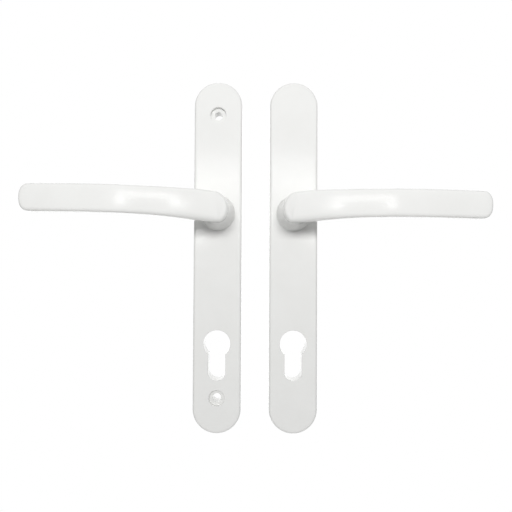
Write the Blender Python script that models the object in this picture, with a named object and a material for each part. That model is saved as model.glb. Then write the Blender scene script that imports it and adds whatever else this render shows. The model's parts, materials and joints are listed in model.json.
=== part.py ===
"""A pair of lever handles on long backplates, for a door with a euro-profile lock.

The inside handle and the outside handle lie side by side, as a pair is laid out before it is fitted.

Constants are in millimetres and degrees, and the scene is in metres. X runs to the right, Z up and Y into
the door. The backs of both plates lie on the door plane y = 0, and the origin is on that plane, midway
between the two spindle axes.

Each handle is built in its own coordinates (s, u, v): s runs from the spindle axis towards the lever's tip,
u is the distance out from the door plane, and v runs up. The inside handle is the mirror image.
"""

import math

import bmesh
import bpy
import numpy as np
from mathutils import Matrix

MM = 0.001
GAP = 0.3  # clearance between two pieces that touch on the real handle

# The pair
AXIS_SPACING = 53.6  # between the two spindle axes, as laid out
REST_TILT = 0.85  # slack of the springs: both levers rest turned clockwise, seen from the front

# Backplate, a hollow die casting
PLATE_WIDTH = 33.8
PLATE_ABOVE_SPINDLE = 93.2
PLATE_BELOW_SPINDLE = 154.8
PLATE_DEPTH = 13.0
PLATE_SKIN = 2.5
PLATE_WALL = 2.2
PLATE_EDGE_RADIUS = 2.0
RIB_THICKNESS = 1.6
RIB_CLEAR_OF_DOOR = 2.0
RIB_PLACES = (40.0, -45.0, -70.0)

# Euro-profile cut-out, 92 mm below the spindle
LOCK_BELOW_SPINDLE = 92.0
LOCK_CIRCLE_RADIUS = 9.45
LOCK_SLOT_WIDTH = 12.0
LOCK_HEIGHT = 35.2
LOCK_COLLAR_WALL = 2.0

# Fixing screws: holes through the inside plate, threaded sleeves behind the outside plate
FIXING_PLACES = (69.8, -130.2)
FIXING_PILLAR_RADIUS = 7.0
FIXING_HOLE_RADIUS = 2.95
COUNTERBORE_RADIUS = 5.5
COUNTERBORE_DEPTH = 3.2
SLEEVE_RADIUS = 4.0
SLEEVE_THREAD_RADIUS = 2.1
SLEEVE_LENGTH = 9.5

# Spring pocket behind the plate, round the spindle axis
POCKET_RADIUS = 12.0
POCKET_WALL_RADIUS = 15.0
POCKET_END = 3.5
STOP_RECESS_RADIUS = 13.8
STOP_RECESS_DEPTH = 5.0
STOP_ANGLE = 46.5
LUG_HALF_ANGLE = 8.0
LUG_RADIUS = 13.4
SPRING_SLOT_WIDTH = 2.1
SPRING_SLOT_DEPTH = 9.2

# Lever: the spigot and the collar are turned about the spindle axis, and the neck and the bar stand on them
COLLAR_RADIUS = 12.4
COLLAR_HEIGHT = 1.2
NECK_TOP = 45.0
NECK_LEAN = 0.12  # how much the neck narrows towards its lever side
HEAD_LENGTH = 9.1  # from the spindle axis to the lever's near end
HEAD_MIDDLE = -0.9  # height of the near end's furthest point
HEAD_LOW_CORNER = 2.9  # the near end's lower corner starts this far from the spindle axis
SPIGOT_RADIUS = 8.2
SPIGOT_END = 0.2
SPIGOT_FLAT = 7.3
SPIGOT_FLAT_LENGTH = 4.95
SPINDLE_SOCKET = 8.1
SOCKET_DEPTH = 25.0
LEVER_REACH = 120.4
TIP_LENGTH = 6.5
TIP_SQUARENESS = 0.85
FACE_EDGE_RADIUS = 2.4
BACK_EDGE_RADIUS = 4.0
FACE_CROWN = 0.3
LOW_EDGE_REACH = 5.0  # the low edge's wider rounding fades out this far above it

# Smooth curves through their points: the lever's edges as (s, v), its front and back as (s, u), what the
# face's low edge adds to FACE_EDGE_RADIUS as (s, radius), and the neck's radius and its reach towards the
# lever's tip as (u, distance).
TOP_EDGE = ((0, 9.8), (8, 10.7), (18, 11.0), (35, 11.3), (50, 11.5), (70, 11.7), (90, 11.6), (116, 11.2))
LOW_EDGE = ((-10, -9.6), (0, -9.5), (10, -8.9), (20, -7.9), (35, -6.7), (50, -6.1), (70, -5.8), (116, -6))
FRONT = ((-10, 48.8), (0, 50.7), (14, 53.3), (28, 55.7), (43, 57.6), (58, 59), (76, 59.7), (94, 59.8), (124, 59))
BACK = ((-10, 38.8), (8, 39.4), (16, 40.8), (25, 43), (34, 44.8), (50, 46.6), (76, 48), (124, 47))
LOW_EDGE_EASE = ((-10, 1.6), (0, 2.6), (12, 2.2), (25, 1.0), (40, 0.3), (60, 0), (124, 0))
NECK_RADII = ((14.5, 12.1), (18, 11.4), (24, 10.3), (30, 9.5), (37, 8.9), (46, 8.8))
NECK_REACH = ((14.5, 12.1), (18, 11.4), (24, 10.3), (29, 9.8), (33, 10.6), (36, 12.8), (39, 16.6), (46, 28))

# Small parts on the spigot, from the front to the door
BUSH_RADII = (8.5, 9.2, 11.6)  # bore, sleeve and flange
BUSH_FLANGE = (9.4, 10.2)
BEARING_RADIUS = 9.5
SPRING_RADIUS = 10.1
SPRING_WIRE = 0.65
SPRING_TURNS = 1.75
SPRING_PITCH = 1.6
SPRING_FRONT = 8.45
SPRING_FIXED_LEG = 13.3
SPRING_BEND_ANGLE = 12.0
SPRING_BEND_REACH = 2.0
SPRING_BEND_DROP = 0.9
SPRING_MOVING_LEG = 3.9
DRIVER = (3.7, 4.7)
DRIVER_RADIUS = 11.6
DRIVER_SPRING_HOLE = 1.05
COVER = (2.4, 3.2)
COVER_RADIUS = 13.5
COVER_BORE_RADIUS = 8.75
COVER_SCREW_PLACE = 17.2
COVER_END_CENTRE = 8.2
WASHER = (1.7, 2.1)
WASHER_RADII = (8.5, 11.0)
CLIP = (0.8, 1.4)
CLIP_RADII = (7.5, 9.4)
CLIP_HALF_OPENING = 24.0
CLIP_EAR_RADIUS = 1.5
CLIP_EAR_ANGLE = 5.0  # from each end of the ring to its ear
CLIP_GROOVE = (0.6, 1.6)
CLIP_GROOVE_RADIUS = 7.2
SCREW_BOSS_RADIUS = 2.6
SCREW_HEAD_RADIUS = 2.2
SCREW_HEAD = (1.2, 2.1)
SCREW_HEAD_EDGE = 0.3
SCREW_SHANK_RADIUS = 0.9
SCREW_END = 8.0
SCREW_DRIVE = (2.6, 0.6, 0.5)  # length, width and depth of the cross recess

PAINT = {"colour": (0.86, 0.86, 0.85), "metallic": 0.0, "roughness": 0.28}
STEEL = {"colour": (0.60, 0.60, 0.60), "metallic": 1.0, "roughness": 0.35}
SPRING_STEEL = {"colour": (0.33, 0.33, 0.34), "metallic": 1.0, "roughness": 0.30}
NYLON = {"colour": (0.80, 0.79, 0.74), "metallic": 0.0, "roughness": 0.50}


def clear_scene():
    for obj in list(bpy.data.objects):
        bpy.data.objects.remove(obj)


# ---- Outlines, as closed lists of (s, v)


def arc(centre_s, centre_v, radius, start, end, count):
    """Points on an arc, from angle start to angle end in degrees, both ends included."""
    angles = np.radians(np.linspace(start, end, count))
    return [(centre_s + radius * math.cos(a), centre_v + radius * math.sin(a)) for a in angles]


def circle(radius, v=0.0, count=32, s=0.0):
    return arc(s, v, radius, 0, 360, count + 1)[:-1]


def stadium(radius, low, high, count=17):
    """Two half circles centred at v = low and v = high, joined by straight sides."""
    return arc(0, high, radius, 0, 180, count) + arc(0, low, radius, 180, 360, count)


def rectangle(width, height, s=0.0, v=0.0):
    corners = ((-1, -1), (1, -1), (1, 1), (-1, 1))
    return [(s + i * width / 2, v + j * height / 2) for i, j in corners]


def plate_outline(inset=0.0):
    end_radius = PLATE_WIDTH / 2
    low = end_radius - PLATE_BELOW_SPINDLE
    high = PLATE_ABOVE_SPINDLE - end_radius
    return stadium(end_radius - inset, low, high)


def lock_outline(grow=0.0):
    """The euro profile: a circle with a round-ended slot hanging from it."""
    radius = LOCK_CIRCLE_RADIUS + grow
    half_slot = LOCK_SLOT_WIDTH / 2 + grow
    slot_end = -LOCK_BELOW_SPINDLE + LOCK_CIRCLE_RADIUS - LOCK_HEIGHT + LOCK_SLOT_WIDTH / 2
    neck = math.degrees(math.acos(half_slot / radius))
    head = arc(0, -LOCK_BELOW_SPINDLE, radius, -neck, 180 + neck, 21)
    return head + arc(0, slot_end, half_slot, 180, 360, 9)


def ring_sector(inner, outer, start, end, count=13):
    return arc(0, 0, outer, start, end, count) + arc(0, 0, inner, end, start, count)


def smooth(points, at):
    """The value at one place on a smooth curve through (place, value) points."""
    places = np.array([p[0] for p in points], float)
    values = np.array([p[1] for p in points], float)
    slopes = np.gradient(values, places)
    k = int(np.clip(np.searchsorted(places, at) - 1, 0, len(places) - 2))
    width = places[k + 1] - places[k]
    t = (at - places[k]) / width
    rise = (values[k + 1] - values[k]) / width
    bend = t * (1 - t) * ((slopes[k] - rise) * (1 - t) + (rise - slopes[k + 1]) * t)
    return float(values[k] + width * (rise * t + bend))


# ---- Solids, from millimetre points (s, u, v)


def solid(points, faces, name="shape"):
    """A mesh object with its faces pointing out. Points that coincide are joined."""
    mesh = bpy.data.meshes.new(name)
    mesh.from_pydata([(s * MM, -u * MM, v * MM) for s, u, v in points], [], faces)
    work = bmesh.new()
    work.from_mesh(mesh)
    bmesh.ops.remove_doubles(work, verts=work.verts, dist=1e-7)
    bmesh.ops.dissolve_degenerate(work, edges=work.edges, dist=1e-7)
    bmesh.ops.recalc_face_normals(work, faces=work.faces)
    work.to_mesh(mesh)
    work.free()
    obj = bpy.data.objects.new(name, mesh)
    bpy.context.scene.collection.objects.link(obj)
    return obj


def side_faces(rings, count, closed=False):
    """Quads between rings of count points, one ring after another."""
    faces = []
    for ring in range(rings if closed else rings - 1):
        here = ring * count
        there = (ring + 1) % rings * count
        for i in range(count):
            j = (i + 1) % count
            faces.append((here + i, here + j, there + j, there + i))
    return faces


def loft(layers):
    """A solid through layers (u, outline), whose outlines have the same number of points."""
    count = len(layers[0][1])
    points = [(s, u, v) for u, outline in layers for s, v in outline]
    faces = side_faces(len(layers), count)
    faces.append(tuple(range(count)))
    faces.append(tuple(range(len(points) - count, len(points))))
    return solid(points, faces)


def prism(outline, start, end):
    return loft([(start, outline), (end, outline)])


def turned(profile, count=32):
    """A closed profile of (radius, u) points, turned about the spindle axis."""
    points = [(s, u, v) for radius, u in profile for s, v in circle(radius, count=count)]
    return solid(points, side_faces(len(profile), count, closed=True))


def pipe(path, radius, count=6):
    """A round wire along a path of (s, u, v) points, with flat ends."""
    path = np.array(path, float)
    along = np.gradient(path, axis=0)
    along /= np.linalg.norm(along, axis=1)[:, None]
    across = np.array((0.0, 1.0, 0.0))
    points = []
    for place, direction in zip(path, along):
        across = across - direction * across.dot(direction)
        across /= np.linalg.norm(across)
        other = np.cross(direction, across)
        for angle in np.linspace(0, 2 * math.pi, count, endpoint=False):
            points.append(tuple(place + radius * (math.cos(angle) * across + math.sin(angle) * other)))
    faces = side_faces(len(path), count)
    faces.append(tuple(range(count)))
    faces.append(tuple(range(len(points) - count, len(points))))
    return solid(points, faces)


def combine(target, tools, operation):
    """Cuts the tools from the target, adds them to it or keeps what they share, and removes them."""
    for tool in tools:
        modifier = target.modifiers.new("combine", "BOOLEAN")
        modifier.operation = operation
        modifier.solver = "EXACT"
        modifier.object = tool
    graph = bpy.context.evaluated_depsgraph_get()
    result = bpy.data.meshes.new_from_object(target.evaluated_get(graph))
    target.modifiers.clear()
    target.data = result
    for tool in tools:
        bpy.data.objects.remove(tool)
    return target


# ---- Backplates


def hollow_back():
    """The space behind the plate's skin, less what stands in it."""
    skin_back = PLATE_DEPTH - PLATE_SKIN
    into_skin = PLATE_DEPTH - PLATE_SKIN / 2
    space = prism(plate_outline(PLATE_WALL), -1, skin_back)
    standing = [
        prism(circle(POCKET_WALL_RADIUS, count=40), POCKET_END, into_skin),
        prism(lock_outline(LOCK_COLLAR_WALL), -2, into_skin),
    ]
    for place in FIXING_PLACES:
        standing.append(prism(circle(FIXING_PILLAR_RADIUS, place, 24), -2, into_skin))
    for way in (-1, 1):
        boss = circle(SCREW_BOSS_RADIUS, way * COVER_SCREW_PLACE, 16)
        standing.append(prism(boss, POCKET_END, into_skin))
    for place in RIB_PLACES:
        rib = rectangle(PLATE_WIDTH, RIB_THICKNESS, v=place)
        standing.append(prism(rib, RIB_CLEAR_OF_DOOR, into_skin))
    return combine(space, standing, "DIFFERENCE")


def pocket_cuts():
    """The bearing hole, the spring's pocket with its slot and stops, and the cover screws' holes."""
    skin_back = PLATE_DEPTH - PLATE_SKIN
    reach = LUG_HALF_ANGLE + STOP_ANGLE
    recess = ring_sector(POCKET_RADIUS - 1, STOP_RECESS_RADIUS, 90 - reach, 90 + reach)
    slot_length = STOP_RECESS_RADIUS - POCKET_RADIUS + 1
    slot = rectangle(SPRING_SLOT_WIDTH, slot_length, v=-(STOP_RECESS_RADIUS - slot_length / 2))
    cuts = [
        prism(circle(BEARING_RADIUS), 5, PLATE_DEPTH + 1),
        prism(circle(POCKET_RADIUS), -1, skin_back),
        prism(recess, -1, STOP_RECESS_DEPTH),
        prism(slot, -1, SPRING_SLOT_DEPTH),
    ]
    for way in (-1, 1):
        pilot = circle(SCREW_SHANK_RADIUS + GAP, way * COVER_SCREW_PLACE, 16)
        cuts.append(prism(pilot, -1, SCREW_END + GAP))
    return cuts


def plate_body():
    """The plate's outside, with a rounded edge round its front."""
    layers = [(0, plate_outline())]
    for angle in np.radians(np.linspace(0, 90, 4)):
        inset = PLATE_EDGE_RADIUS * (1 - math.cos(angle))
        u = PLATE_DEPTH - PLATE_EDGE_RADIUS * (1 - math.sin(angle))
        layers.append((u, plate_outline(inset)))
    return loft(layers)


def screw_holes():
    """Counterbored holes through the inside plate."""
    floor = PLATE_DEPTH - COUNTERBORE_DEPTH
    cuts = []
    for place in FIXING_PLACES:
        cuts.append(prism(circle(FIXING_HOLE_RADIUS, place, 24), -1, PLATE_DEPTH + 1))
        cuts.append(prism(circle(COUNTERBORE_RADIUS, place, 24), floor, PLATE_DEPTH + 1))
    return cuts


def sleeve_holes():
    """Blind holes in the outside plate's pillars, for the threaded sleeves."""
    depth = SLEEVE_LENGTH + 2 * GAP
    return [prism(circle(SLEEVE_RADIUS + GAP, place, 24), -1, depth) for place in FIXING_PLACES]


def backplate(fixing_cuts):
    cuts = [hollow_back(), prism(lock_outline(), -1, PLATE_DEPTH + 1)]
    return combine(plate_body(), cuts + pocket_cuts() + fixing_cuts, "DIFFERENCE")


# ---- Lever


def bar_outline():
    """The lever's outline seen from the front: its upper and its lower half, from the head to the tip."""
    tip_start = LEVER_REACH - TIP_LENGTH
    upper, lower = [], []
    top_corner = smooth(TOP_EDGE, 0)
    low_corner = smooth(LOW_EDGE, -HEAD_LOW_CORNER)
    for angle in np.radians(np.linspace(0, 90, 8))[:-1]:
        s = -HEAD_LENGTH * math.cos(angle)
        upper.append((s, HEAD_MIDDLE + (top_corner - HEAD_MIDDLE) * math.sin(angle)))
        s = -HEAD_LOW_CORNER - (HEAD_LENGTH - HEAD_LOW_CORNER) * math.cos(angle)
        lower.append((s, HEAD_MIDDLE + (low_corner - HEAD_MIDDLE) * math.sin(angle)))
    for s in np.linspace(0, tip_start, 12):
        upper.append((s, smooth(TOP_EDGE, s)))
        lower.append((s, smooth(LOW_EDGE, s)))
    top, low = upper[-1][1], lower[-1][1]
    middle, half = (top + low) / 2, (top - low) / 2
    for angle in np.radians(np.linspace(90, 0, 6))[1:]:
        s = tip_start + TIP_LENGTH * math.cos(angle) ** TIP_SQUARENESS
        v = half * math.sin(angle) ** TIP_SQUARENESS
        upper.append((s, middle + v))
        lower.append((s, middle - v))
    return upper, lower


def inset_outline(loop, distances):
    """The closed outline moved in along its own normals, by one distance for each point."""
    loop = np.array(loop)
    along = np.roll(loop, -1, axis=0) - np.roll(loop, 1, axis=0)
    along /= np.linalg.norm(along, axis=1)[:, None]
    inward = np.stack([along[:, 1], -along[:, 0]], axis=1)
    return loop + distances[:, None] * inward


def face_edge_radii(loop):
    """How far the front edge is rounded at each point of the outline: more below, near the head."""
    radii = []
    for s, v in loop:
        low_share = min(max(-v / LOW_EDGE_REACH, 0), 1)
        radii.append(FACE_EDGE_RADIUS + low_share * smooth(LOW_EDGE_EASE, s))
    return np.array(radii)


def bar():
    """The lever's bar: rings round its edge, closed by a crowned front and a flat back."""
    upper, lower = bar_outline()
    loop = upper + lower[-2:0:-1]
    count = len(loop)
    half = len(upper) - 1
    front_radii = face_edge_radii(loop)
    back_radii = np.full(count, BACK_EDGE_RADIUS)
    turn = np.radians(np.linspace(90, 0, 4))
    rings = [(angle, FRONT, -front_radii) for angle in turn]
    rings += [(angle, BACK, back_radii) for angle in turn[::-1]]
    points = []
    for angle, surface, depths in rings:
        moved_in = inset_outline(loop, abs(depths) * (1 - math.cos(angle)))
        offsets = depths * (1 - math.sin(angle))
        for (s, v), (place, _), offset in zip(moved_in, loop, offsets):
            points.append((s, smooth(surface, place) + offset, v))
    faces = side_faces(len(rings), count)
    first_of_last = (len(rings) - 1) * count
    for start, crown in ((0, FACE_CROWN), (first_of_last, 0)):
        faces += ladder(points, start, count, half, crown)
    return solid(points, faces)


def ladder(points, start, count, half, crown, steps=2):
    """Faces across one ring, between each upper point and the lower point below it.

    They bulge by the crown at the bar's widest place, and by less where it is narrower.
    """
    full_width = max(points[start + i][2] - points[start + count - i][2] for i in range(1, half))
    rows = []
    for i in range(1, half):
        upper, lower = start + i, start + count - i
        bulge = crown * ((points[upper][2] - points[lower][2]) / full_width) ** 2
        row = [upper]
        for step in range(1, steps):
            t = step / steps
            middle = [(1 - t) * a + t * b for a, b in zip(points[upper], points[lower])]
            middle[1] += bulge * 4 * t * (1 - t)
            row.append(len(points))
            points.append(tuple(middle))
        rows.append(row + [lower])
    faces = []
    for row, following in zip(rows, rows[1:]):
        faces += [(row[i], row[i + 1], following[i + 1], following[i]) for i in range(steps)]
    for end, row in ((start, rows[0]), (start + half, rows[-1])):
        faces += [(end, row[i], row[i + 1]) for i in range(steps)]
    return faces


def spigot():
    """Spigot and collar in one turned piece, with the clip's groove."""
    groove_start, groove_end = CLIP_GROOVE
    shoulder = PLATE_DEPTH + GAP
    profile = [(0, SPIGOT_END), (SPIGOT_RADIUS, SPIGOT_END)]
    profile += [(SPIGOT_RADIUS, groove_start), (CLIP_GROOVE_RADIUS, groove_start)]
    profile += [(CLIP_GROOVE_RADIUS, groove_end), (SPIGOT_RADIUS, groove_end)]
    profile += [(SPIGOT_RADIUS, shoulder), (COLLAR_RADIUS, shoulder)]
    profile += [(COLLAR_RADIUS, shoulder + COLLAR_HEIGHT), (0, shoulder + COLLAR_HEIGHT)]
    return turned(profile)


def neck_outline(radius, reach, count=17):
    """A half circle away from the lever, and a half of a squarer oval that reaches out under it."""
    squareness = math.sqrt(radius / reach)
    outline = []
    for angle in np.radians(np.linspace(-90, 90, count)):
        s = reach * math.cos(angle) ** squareness
        v = math.copysign(radius * abs(math.sin(angle)) ** squareness, angle)
        outline.append((s, v * (1 - NECK_LEAN * s / reach * (reach - radius) / radius)))
    return outline + arc(0, 0, radius, 90, 270, count)[1:-1]


def neck():
    """Round above the collar, and reaching out under the bar as it rises."""
    start = PLATE_DEPTH + GAP + COLLAR_HEIGHT / 2
    layers = []
    for u in np.linspace(start, NECK_TOP, 15):
        layers.append((u, neck_outline(smooth(NECK_RADII, u), smooth(NECK_REACH, u))))
    return loft(layers)


def lever():
    body = combine(bar(), [neck(), spigot()], "UNION")
    cheek = 2 * SPIGOT_RADIUS
    socket = rectangle(SPINDLE_SOCKET, SPINDLE_SOCKET)
    cuts = [prism(socket, -1, SPIGOT_END + SOCKET_DEPTH)]
    for way in (-1, 1):
        flat = rectangle(cheek, 2 * cheek, s=way * (SPIGOT_FLAT + cheek / 2))
        cuts.append(prism(flat, -1, SPIGOT_FLAT_LENGTH))
    return combine(body, cuts, "DIFFERENCE")


# ---- Small parts on the spigot


def neck_bush():
    bore, sleeve, flange = BUSH_RADII
    low, high = BUSH_FLANGE
    profile = [(bore, low), (flange, low), (flange, high)]
    profile += [(sleeve, high), (sleeve, PLATE_DEPTH), (bore, PLATE_DEPTH)]
    return turned(profile)


def spring_path(slack):
    """The wire's centre line: a leg out into the pocket's slot, the coil, and a leg down into the driver."""
    start = -90.0
    end = start + 360 * SPRING_TURNS + slack
    drop = SPRING_PITCH * SPRING_TURNS
    coil = []
    for t in np.linspace(0, 1, 37):
        angle = start + SPRING_BEND_ANGLE + t * (end - start - 2 * SPRING_BEND_ANGLE)
        coil.append(round_axis(SPRING_RADIUS, SPRING_FRONT - t * drop, angle))
    leg_end = round_axis(SPRING_RADIUS + SPRING_BEND_REACH, SPRING_FRONT, start)
    leg_in = [round_axis(SPRING_FIXED_LEG, SPRING_FRONT, start), leg_end]
    bend_in = bend(leg_end, round_axis(SPRING_RADIUS, SPRING_FRONT, start), coil[0])
    turned_down = round_axis(SPRING_RADIUS, SPRING_FRONT - drop - SPRING_BEND_DROP, end)
    bend_out = bend(coil[-1], round_axis(SPRING_RADIUS, SPRING_FRONT - drop, end), turned_down)
    leg_out = [turned_down, round_axis(SPRING_RADIUS, SPRING_MOVING_LEG, end)]
    return leg_in + bend_in + coil + bend_out + leg_out


def round_axis(radius, u, angle):
    """The point at that radius and angle, in degrees, round the spindle axis."""
    return (radius * math.cos(math.radians(angle)), u, radius * math.sin(math.radians(angle)))


def bend(start, corner, end, count=3):
    """Points strictly between start and end, on a curve that turns at the corner."""
    start, corner, end = np.array(start), np.array(corner), np.array(end)
    places = np.linspace(0, 1, count + 2)[1:-1]
    return [tuple((1 - t) ** 2 * start + 2 * t * (1 - t) * corner + t * t * end) for t in places]


def return_spring(slack):
    return pipe(spring_path(slack), SPRING_WIRE)


def driver_plate():
    """The steel plate that turns with the spigot: it carries the stop lug and the spring's moving leg."""
    low, high = DRIVER
    plate = prism(circle(DRIVER_RADIUS), low, high)
    lug = ring_sector(DRIVER_RADIUS - 1, LUG_RADIUS, 90 - LUG_HALF_ANGLE, 90 + LUG_HALF_ANGLE, 6)
    plate = combine(plate, [prism(lug, low, high)], "UNION")
    keyed_hole = prism(circle(SPIGOT_RADIUS + GAP), low - 1, high + 1)
    slab = prism(rectangle(2 * (SPIGOT_FLAT + GAP), 4 * SPIGOT_RADIUS), low - 2, high + 2)
    keyed_hole = combine(keyed_hole, [slab], "INTERSECT")
    spring_hole = prism(circle(DRIVER_SPRING_HOLE, count=16, s=-SPRING_RADIUS), low - 1, high + 1)
    return combine(plate, [keyed_hole, spring_hole], "DIFFERENCE")


def cassette_cover():
    low, high = COVER
    plate = prism(stadium(COVER_RADIUS, -COVER_END_CENTRE, COVER_END_CENTRE), low, high)
    cuts = [prism(circle(COVER_BORE_RADIUS), low - 1, high + 1)]
    for way in (-1, 1):
        hole = circle(SCREW_SHANK_RADIUS + GAP, way * COVER_SCREW_PLACE, 16)
        cuts.append(prism(hole, low - 1, high + 1))
    return combine(plate, cuts, "DIFFERENCE")


def thrust_washer():
    bore, rim = WASHER_RADII
    low, high = WASHER
    return turned([(bore, low), (rim, low), (rim, high), (bore, high)])


def circlip():
    """An open ring with an eyed ear at each end, for circlip pliers."""
    inner, outer = CLIP_RADII
    low, high = CLIP
    first, last = 90 + CLIP_HALF_OPENING, 450 - CLIP_HALF_OPENING
    clip = prism(ring_sector(inner, outer, first, last, 25), low, high)
    ears, eyes = [], []
    for angle in (first + CLIP_EAR_ANGLE, last - CLIP_EAR_ANGLE):
        s, _, v = round_axis(outer, 0, angle)
        ears.append(prism(circle(CLIP_EAR_RADIUS, v, 12, s), low, high))
        eyes.append(prism(circle(CLIP_EAR_RADIUS / 2, v, 8, s), low - 1, high + 1))
    return combine(combine(clip, ears, "UNION"), eyes, "DIFFERENCE")


def cover_screw(way):
    """A pan-head screw whose head is towards the door."""
    place = way * COVER_SCREW_PLACE
    low, high = SCREW_HEAD
    rim = circle(SCREW_HEAD_RADIUS, place, 16)
    crown = circle(SCREW_HEAD_RADIUS - SCREW_HEAD_EDGE, place, 16)
    head = loft([(low, crown), (low + SCREW_HEAD_EDGE, rim), (high, rim)])
    shank = prism(circle(SCREW_SHANK_RADIUS, place, 12), high - 0.2, SCREW_END)
    length, width, depth = SCREW_DRIVE
    cross = []
    for across, along in ((length, width), (width, length)):
        cross.append(prism(rectangle(across, along, v=place), low - 1, low + depth))
    return combine(combine(head, [shank], "UNION"), cross, "DIFFERENCE")


def threaded_sleeve(place):
    """A steel sleeve that takes one of the long fixing screws."""
    end = GAP + SLEEVE_LENGTH
    sleeve = prism(circle(SLEEVE_RADIUS, place, 24), GAP, end)
    bore = prism(circle(SLEEVE_THREAD_RADIUS, place, 16), -1, end + 1)
    return combine(sleeve, [bore], "DIFFERENCE")


# ---- Assembly


def finish(obj, name, look, parent, side):
    """Names a piece, gives it the hand of its side and its own material, and hangs it on its parent."""
    if side < 0:
        obj.data.transform(Matrix.Diagonal((-1, 1, 1, 1)))
        obj.data.flip_normals()
    obj.name = name
    obj.data.name = name
    obj.data.shade_smooth()
    obj.data.set_sharp_from_angle(angle=math.radians(35))
    material = bpy.data.materials.new(name)
    material.use_nodes = True
    shader = material.node_tree.nodes["Principled BSDF"]
    shader.inputs["Base Color"].default_value = (*look["colour"], 1)
    shader.inputs["Metallic"].default_value = look["metallic"]
    shader.inputs["Roughness"].default_value = look["roughness"]
    obj.data.materials.clear()
    obj.data.materials.append(material)
    obj.parent = parent


def empty(name, parent=None):
    obj = bpy.data.objects.new(name, None)
    bpy.context.scene.collection.objects.link(obj)
    obj.parent = parent
    return obj


def handle(label, side, fixing_cuts):
    """One handle of the pair: the plate and what is fixed to it, and the lever and what turns with it."""
    base = empty(label + "_handle")
    base.location.x = side * AXIS_SPACING / 2 * MM
    spindle = empty(label + "_spindle_axis", base)
    spindle.rotation_euler.y = math.radians(REST_TILT)
    finish(backplate(fixing_cuts), label + "_backplate", PAINT, base, side)
    finish(neck_bush(), label + "_neck_bush", NYLON, base, side)
    finish(return_spring(-side * REST_TILT), label + "_return_spring", SPRING_STEEL, base, side)
    finish(cassette_cover(), label + "_cassette_cover", STEEL, base, side)
    finish(cover_screw(1), label + "_cover_screw_upper", STEEL, base, side)
    finish(cover_screw(-1), label + "_cover_screw_lower", STEEL, base, side)
    finish(lever(), label + "_lever", PAINT, spindle, side)
    finish(driver_plate(), label + "_driver_plate", STEEL, spindle, side)
    finish(thrust_washer(), label + "_thrust_washer", STEEL, spindle, side)
    finish(circlip(), label + "_circlip", SPRING_STEEL, spindle, side)
    return base


def main():
    clear_scene()
    handle("inner", -1, screw_holes())
    outer = handle("outer", 1, sleeve_holes())
    for place, where in zip(FIXING_PLACES, ("upper", "lower")):
        finish(threaded_sleeve(place), f"outer_{where}_threaded_sleeve", STEEL, outer, 1)


main()
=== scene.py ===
"""The looks of a pair of white lever handles on long backplates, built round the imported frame.

Each piece is made in its handle's own coordinates (s, u, v), in millimetres: s runs from the spindle axis
towards the lever's tip, u is the distance out from the door plane, and v runs up. A piece is shaped for the
outside handle, and the inside handle takes its mirror image.
"""

import json
import math

import bmesh
import bpy
import numpy as np
from mathutils import Matrix, Vector


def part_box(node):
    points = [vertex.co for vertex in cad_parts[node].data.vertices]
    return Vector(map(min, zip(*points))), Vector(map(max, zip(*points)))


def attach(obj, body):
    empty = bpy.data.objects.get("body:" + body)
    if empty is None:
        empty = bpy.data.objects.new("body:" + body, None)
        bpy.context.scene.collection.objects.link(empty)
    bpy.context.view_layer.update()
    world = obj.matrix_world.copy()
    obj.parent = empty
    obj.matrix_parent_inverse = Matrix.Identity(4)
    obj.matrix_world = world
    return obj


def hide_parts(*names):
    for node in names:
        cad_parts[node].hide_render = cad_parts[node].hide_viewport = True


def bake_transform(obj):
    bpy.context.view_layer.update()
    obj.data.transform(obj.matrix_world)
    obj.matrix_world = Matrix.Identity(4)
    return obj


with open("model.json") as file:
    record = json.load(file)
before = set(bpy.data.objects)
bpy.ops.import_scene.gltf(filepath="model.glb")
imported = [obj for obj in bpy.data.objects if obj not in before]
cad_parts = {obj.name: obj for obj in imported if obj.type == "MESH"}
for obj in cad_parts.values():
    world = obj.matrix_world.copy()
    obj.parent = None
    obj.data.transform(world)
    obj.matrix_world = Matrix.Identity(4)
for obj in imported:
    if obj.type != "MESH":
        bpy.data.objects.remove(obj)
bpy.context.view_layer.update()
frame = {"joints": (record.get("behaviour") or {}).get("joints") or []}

MM = 0.001
BODY = "backplates"  # the fixed body: both plates and everything screwed or snapped to them

# From the frame: the two spindle axes, the plates and the places of the small fixed parts
SPINDLES = {joint["child"].split("_")[0]: joint["pos_m"][0] for joint in frame["joints"]}
PLATE_LOW, PLATE_HIGH = (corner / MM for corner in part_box("inner_backplate"))
PLATE_WIDTH = PLATE_HIGH.x - PLATE_LOW.x
PLATE_DEPTH = PLATE_HIGH.y - PLATE_LOW.y


def middle_of(node):
    """The centre of a node in its handle's own millimetres, as (s, u, v)."""
    low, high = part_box(node)
    centre = (low + high) / 2 / MM
    return Vector((abs(centre.x) - abs(SPINDLES[node.split("_")[0]]) / MM, -centre.y, centre.z))


def thickness_of(node):
    """The nearest and furthest distance of a node from the door plane, in millimetres."""
    low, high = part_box(node)
    return -high.y / MM, -low.y / MM


REST_TILT = 0.85  # degrees: the springs' slack, which both levers rest turned by
OVERSHOOT = 1.0  # how far a cutter reaches past what it cuts

# Backplate
PLATE_SKIN = 2.5
PLATE_WALL = 2.2
PLATE_EDGE_RADIUS = 2.0
CAST_EDGE = 0.3  # rounding of the casting's other edges
SHARP_EDGE = 0.01  # a rounding too small to be seen
RIB_THICKNESS = 1.6
RIB_CLEAR_OF_DOOR = 2.0
RIB_PLACES = (40.0, -45.0, -70.0)
EJECTOR_MARK_PLACES = (55.0, 28.0, -33.0, -57.5)
EJECTOR_MARK_RADIUS = 2.6
EJECTOR_MARK_DEPTH = 0.15
EJECTOR_MARK_OVERLAP = 0.5

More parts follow.
